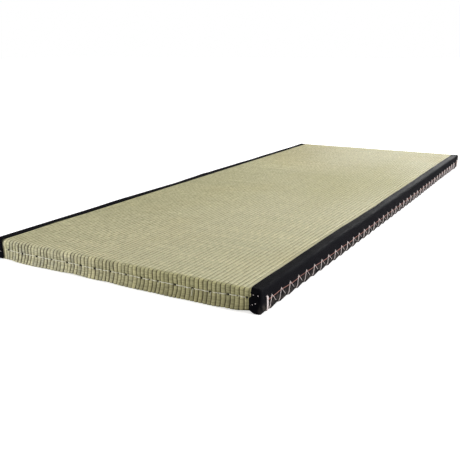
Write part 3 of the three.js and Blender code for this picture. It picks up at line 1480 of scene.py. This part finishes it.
@dataclass
class Lacing(Sewing):
    """The sewing of one edge cloth: slanted lacing with its cross thread, and tacks on the folded ends."""

    cloth: EdgeCloth
    near_radius: float = 0.8 * MM
    far_radius: float = 0.5 * MM
    fluffed: float = 0.6
    fluffed_over: Range = (0.0, 0.9)
    proud: float = 0.75
    bite: float = 2.6 * MM
    leg_gap: float = 0.8 * MM
    leg_low: float = 5 * MM
    leg_points: int = 12
    knot_radius: float = 0.95 * MM
    knot_rise: float = 1.2 * MM
    knot_drop: float = 2.8 * MM
    knot_points: int = 8
    anchor_radius: float = 1.6 * MM
    anchor_rise: float = 5.5 * MM
    line_radius: float = 0.65 * MM
    line_waver: float = 0.9 * MM
    line_proud: float = 0.6
    line_step: float = 5 * MM
    tack_radius: float = 0.7 * MM
    tack_reach: float = 0.8 * MM
    tack_proud: float = 0.6 * MM
    tack_rise: float = 1.0 * MM
    tack_points: int = 7
    tacks: tuple[Range, ...] = ((382.7, 43.8), (393.7, 43.5), (380.5, 21.4), (387.4, 24.9))

    def leg(self, top: float, foot: float, radius: float, rise: float = 0.0) -> Array:
        """Lays one thread from its upper hole down the side and under the edge.

        Args:
            top: Place along the edge of the upper hole.
            foot: Place along the edge where it goes under.
            radius: Half the thread's thickness.
            rise: How far its upper hole lies above those of the lacing.

        Returns:
            Points along the thread.
        """
        edge, floor = self.cloth.sizes.half_width, radius + FLOOR_GAP
        side = self.slant(top, foot, self.leg_low, radius, rise)
        turned = (edge + 0.4 * MM, foot, 2.6 * MM)
        return np.concatenate([side, [turned, (edge - 3 * MM, foot, floor), (edge - 9 * MM, foot, floor)]])

    def slant(self, top: float, foot: float, low: float, radius: float, rise: float = 0.0) -> Array:
        """Lays a thread over the side from its upper hole to a lower place.

        Args:
            top: Place along the edge of the upper hole.
            foot: Place along the edge of the lower end.
            low: Height of the lower end.
            radius: Half the thread's thickness.
            rise: How far its upper hole lies above those of the lacing.

        Returns:
            Points along the thread.
        """
        share = np.linspace(0, 1, self.leg_points)
        y = top + (foot - top) * share
        high = self.cloth.apex_level(np.array(top)) + rise
        z = high + (low - high) * share
        x = self.cloth.sizes.half_width + self.cloth.side_relief(y, z) + self.proud * radius
        x[0] -= self.bite
        return np.stack([x, y, z], -1)

    def far_leg(self, apex: float, radius: float) -> Array:
        """Lays the slanted thread that goes back into the cloth above its lower edge.

        Args:
            apex: Place along the edge of the lacing's upper point.
            radius: Half the thread's thickness.

        Returns:
            Points along the thread.
        """
        foot, low = apex + self.cloth.far_foot, self.cloth.far_foot_height
        path = self.slant(apex + self.leg_gap, foot, low, radius)
        path[-1, 0] -= self.bite
        return path

    def knot(self, apex: float) -> Array:
        """Lays the short upright stitch over one upper point of the lacing.

        Args:
            apex: Place along the edge of the lacing's upper point.

        Returns:
            Points along the thread.
        """
        turn = np.linspace(0, math.pi, self.knot_points)
        middle = self.cloth.apex_level(np.array(apex)) + (self.knot_rise - self.knot_drop) / 2
        z = middle + (self.knot_rise + self.knot_drop) / 2 * np.cos(turn)
        y = np.full_like(z, apex)
        out = self.cloth.side_relief(y, z) + self.knot_radius * (2.6 * np.sin(turn) - 0.8)
        return np.stack([self.cloth.sizes.half_width + out, y, z], -1)

    def turned(self, path: Array) -> Array:
        """Turns a path that is laid on the right edge round to this edge."""
        return path * np.array([self.cloth.edge.value, self.cloth.edge.value, 1.0])

    def build_laces(self) -> Object:
        """Builds the slanted lacing and its upright end stitches as one joined mesh.

        Returns:
            The joined threads.
        """
        draft = MeshDraft()
        for apex in self.cloth.apexes():
            fuller = 1 + self.fluffed * float(ease(np.array(apex), *self.fluffed_over))
            near, far = self.near_radius * fuller, self.far_radius * fuller
            foot = apex + self.cloth.near_foot
            draft.add_thread(self.turned(self.leg(apex - self.leg_gap, foot, near)), near)
            draft.add_thread(self.turned(self.far_leg(apex, far)), far)
            draft.add_thread(self.turned(self.knot(apex)), self.knot_radius)
        for anchor in self.cloth.anchors():
            for nudge in (-1.0, 1.0):
                place = anchor + nudge * self.anchor_radius
                path = self.leg(place, place, self.anchor_radius, self.anchor_rise)
                draft.add_thread(self.turned(path), self.anchor_radius)
        return draft.to_object(f"lacing_{self.cloth.edge.label}")

    def build_line(self) -> Object:
        """Builds the thread that runs along the side under the lacing.

        Returns:
            The thread.
        """
        cloth = self.cloth
        start, stop = cloth.anchors()
        y = np.linspace(start, stop, int((stop - start) / self.line_step))
        waver = self.line_waver * wander(Seed.CROSS_THREAD + cloth.edge.value, y / 0.08)
        z = cloth.apex_level(y) - cloth.line_below + waver
        x = cloth.sizes.half_width + cloth.side_relief(y, z) + self.line_proud * self.line_radius
        draft = MeshDraft()
        draft.add_thread(self.turned(np.stack([x, y, z], -1)), self.line_radius)
        return draft.to_object(f"lacing_line_{cloth.edge.label}")

    def build_tacks(self) -> Object:
        """Builds the small stitches that hold the folded ends.

        Returns:
            The joined stitches.
        """
        draft = MeshDraft()
        turn = np.linspace(0, math.pi, self.tack_points)
        out = self.cloth.sizes.half_length + self.tack_proud + self.tack_rise * np.sin(turn)
        for end in End:
            for across, height in self.tacks:
                x = across * MM - self.tack_reach * np.cos(turn)
                path = np.stack([x, end.value * out, np.full_like(x, height * MM)], -1)
                draft.add_thread(self.turned(path), self.tack_radius)
        return draft.to_object(f"end_tacks_{self.cloth.edge.label}")

    def build(self, pale: Material, russet: Material) -> list[Object]:
        """Builds and dresses all the sewing of the edge.

        Args:
            pale: Finish of the lacing and the tacks.
            russet: Finish of the thread that runs along the side.

        Returns:
            The pieces.
        """
        made = [(self.build_laces(), pale), (self.build_line(), russet), (self.build_tacks(), pale)]
        for thread, finish in made:
            self.dress(thread, finish)
        return [thread for thread, _ in made]


class Lamp(NamedTuple):
    """One soft light."""

    name: str
    place: Place
    aim: Place
    size: float
    power: float


@dataclass
class Studio:
    """The pale floor, the soft light and the camera."""

    floor_size: float = 60.0
    floor_seen: Colour = (0.9, 0.9, 0.9)
    floor_in_light: Colour = (0.32, 0.32, 0.32)
    glow_near: float = 0.62
    glow_over: Range = (1.2, 4.0)
    camera_place: Place = (0.9681, -2.1029, 0.5383)
    camera_yaw: float = -30.174
    camera_pitch: float = -15.825
    camera_roll: float = -0.350
    lens: float = 50.11
    sensor_width: float = 36.0
    clip_end: float = 200.0
    world_light: float = 0.20
    white: Colour = (1.0, 1.0, 1.0)
    lamps: tuple[Lamp, ...] = (
        Lamp("overhead_softbox", (0.2, 0.0, 3.2), (0.2, 0.0, 0.0), 2.6, 40.0),
        Lamp("far_softbox", (0.2, 3.4, 1.1), (0.2, 0.6, 0.0), 1.8, 73.0),
        Lamp("right_softbox", (2.4, -0.5, 0.42), (0.4, -0.25, 0.03), 1.0, 57.0),
        Lamp("side_softbox", (2.6, 1.5, 0.42), (0.4, 0.9, 0.03), 0.9, 26.0),
        Lamp("left_softbox", (-1.0, -2.5, 0.35), (-0.3, -1.0, 0.02), 0.6, 22.5),
    )

    def build_camera(self) -> None:
        """Places the camera."""
        data = bpy.data.cameras.new("camera")
        data.lens = self.lens
        data.sensor_width = self.sensor_width
        data.clip_end = self.clip_end
        camera = new_object("camera", data)
        turn = (
            Matrix.Rotation(-math.radians(self.camera_yaw), 4, "Z")
            @ Matrix.Rotation(math.radians(90 + self.camera_pitch), 4, "X")
            @ Matrix.Rotation(math.radians(self.camera_roll), 4, "Z")
        )
        camera.matrix_world = Matrix.Translation(self.camera_place) @ turn
        bpy.context.scene.camera = camera

    def build_lamps(self) -> None:
        """Places the soft lights."""
        for lamp in self.lamps:
            data = bpy.data.lights.new(lamp.name, "AREA")
            data.energy = lamp.power
            data.size = lamp.size
            light = new_object(lamp.name, data)
            light.location = lamp.place
            aim = Vector(lamp.aim) - Vector(lamp.place)
            light.rotation_euler = aim.to_track_quat("-Z", "Y").to_euler()
            light.visible_camera = False

    def build_floor(self) -> None:
        """Lays the pale floor."""
        bpy.ops.object.select_all(action="DESELECT")
        bpy.ops.mesh.primitive_plane_add(size=self.floor_size)
        floor = bpy.context.active_object
        floor.name = "floor"
        graph = Graph.of_material("floor")
        place = graph.object_place()
        away = graph.node("ShaderNodeVectorMath", {"operation": "LENGTH"}, {0: place}, "Value")
        seen = graph.camera_sees()
        glow = (self.glow_near + away.step(*self.glow_over) * (1 - self.glow_near)) * seen
        material = graph.surface(
            Base_Color=graph.blend(seen, self.floor_in_light, self.floor_seen),
            Roughness=0.7 + graph.noise(place, scale=3.0) * 0.1,
            Specular_IOR_Level=0.1,
            Emission_Color=graph.scale(self.white, glow),
            Emission_Strength=1.0,
        )
        floor.data.materials.append(material)

    def build_world(self) -> None:
        """Fills the room with even light, white where the camera sees it."""
        graph = Graph(bpy.data.worlds.new("studio"))
        level = graph.camera_sees() * (1 - self.world_light) + self.world_light
        light = graph.node("ShaderNodeBackground", {}, {"Color": self.white, "Strength": level})
        graph.end("ShaderNodeOutputWorld", light)
        bpy.context.scene.world = graph.owner
        bpy.context.scene.view_settings.view_transform = "Standard"

    def build(self) -> None:
        """Builds the whole studio."""
        self.build_camera()
        self.build_lamps()
        self.build_floor()
        self.build_world()


def report(piece: Object) -> None:
    """Logs one finished piece."""
    log.info("%s: %d faces", piece.name, len(piece.data.polygons))


def main() -> None:
    """Builds the studio, then the mat from the pad outwards."""
    logging.basicConfig(level=logging.INFO, format="%(name)s: %(message)s")
    Studio().build()
    sizes = MatSizes.from_frame()
    cotton = ThreadFinish("seam_thread", srgb(252, 249, 228), srgb(228, 220, 190)).material()
    pale = ThreadFinish("lace_thread", srgb(238, 227, 225), srgb(210, 191, 188)).material()
    russet = ThreadFinish("line_thread", srgb(176, 128, 117), srgb(142, 97, 88)).material()

    facing = RushFacing(sizes)
    pad = facing.build()
    facing.dress(pad)
    report(pad)
    for end in End:
        seam = EndSeam(facing, end)
        thread = seam.build()
        seam.dress(thread, cotton)
        report(thread)
    for edge in Edge:
        binding = EdgeCloth(sizes, edge)
        cloth = binding.build()
        sewing = Lacing(binding).build(pale, russet)
        binding.dress(cloth, sewing)
        for piece in [cloth, *sewing]:
            report(piece)


if __name__ == "__main__":
    main()
